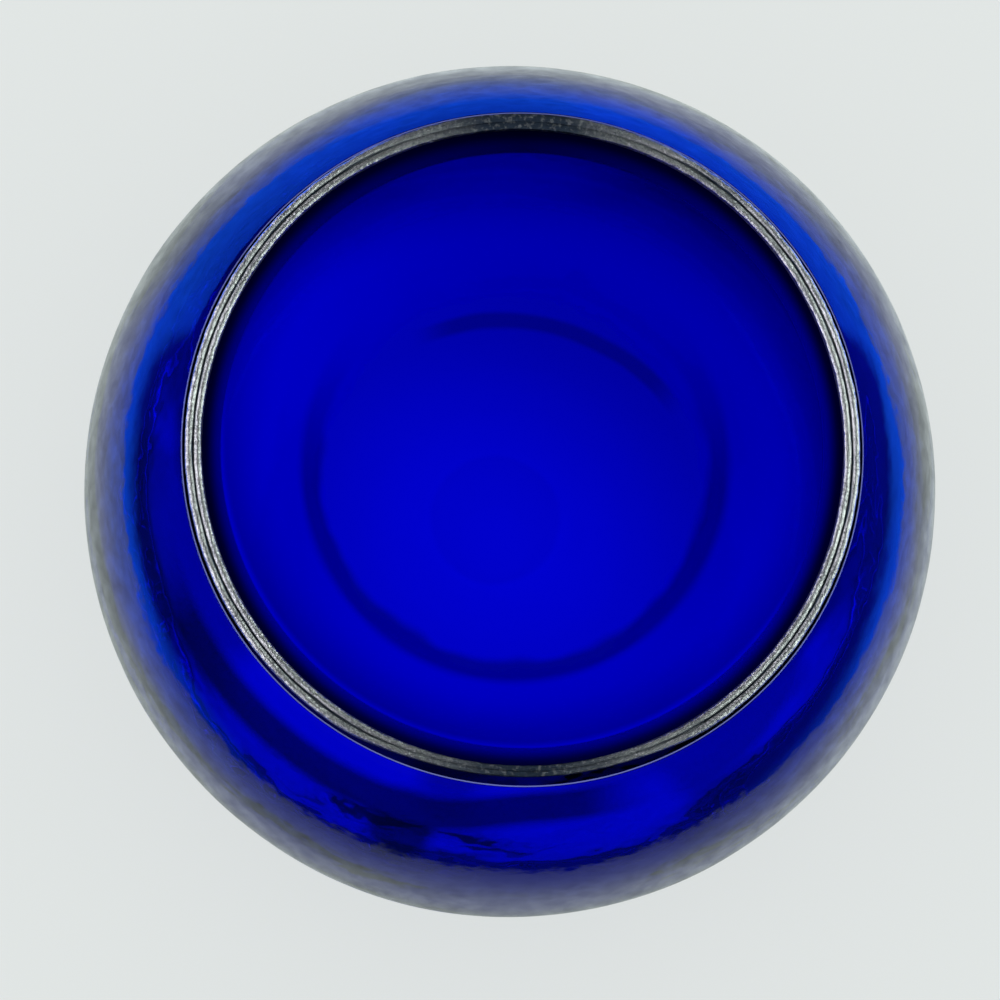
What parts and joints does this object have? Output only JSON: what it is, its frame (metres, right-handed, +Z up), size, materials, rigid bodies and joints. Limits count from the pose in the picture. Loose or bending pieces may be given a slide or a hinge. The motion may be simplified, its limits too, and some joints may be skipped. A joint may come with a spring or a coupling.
{
  "type": "silver overlay glass globe vase",
  "caption": "Squat globe vase of cobalt glass, open at the top, with a beaded silver band on the lip and an openwork silver belt of leaf scrolls.",
  "frame": {"origin": "centre of the foot on the surface that the vase stands on", "axes": "+Z up along the vase's axis, out of the mouth"},
  "size_m": [0.0762, 0.0762, 0.0577],
  "materials": {
    "cobalt_glass": "clear deep cobalt blue glass, polished, slightly wavy from blowing",
    "silver": "bright silver, polished, with faint grey tarnish in the grooves"
  },
  "bodies": {
    "root": {"glass_body": "cobalt_glass", "lip_band": "silver", "belt_border_upper": "silver", "belt_border_lower": "silver", "leaf_scroll_01": "silver", "leaf_scroll_02": "silver", "leaf_scroll_03": "silver", "leaf_scroll_04": "silver", "leaf_scroll_05": "silver", "leaf_scroll_06": "silver", "leaf_scroll_07": "silver", "leaf_scroll_08": "silver", "leaf_scroll_09": "silver", "leaf_scroll_10": "silver", "leaf_scroll_11": "silver", "leaf_scroll_12": "silver", "leaf_scroll_13": "silver", "leaf_scroll_14": "silver", "leaf_scroll_15": "silver", "leaf_scroll_16": "silver", "leaf_scroll_17": "silver", "leaf_scroll_18": "silver", "leaf_scroll_19": "silver", "leaf_scroll_20": "silver", "quatrefoil_01": "silver", "quatrefoil_02": "silver", "quatrefoil_03": "silver", "quatrefoil_04": "silver", "quatrefoil_05": "silver", "quatrefoil_06": "silver", "quatrefoil_07": "silver", "quatrefoil_08": "silver", "quatrefoil_09": "silver", "quatrefoil_10": "silver", "quatrefoil_11": "silver", "quatrefoil_12": "silver", "quatrefoil_13": "silver", "quatrefoil_14": "silver", "quatrefoil_15": "silver", "quatrefoil_16": "silver", "quatrefoil_17": "silver", "quatrefoil_18": "silver", "quatrefoil_19": "silver", "quatrefoil_20": "silver"}
  },
  "joints": []
}
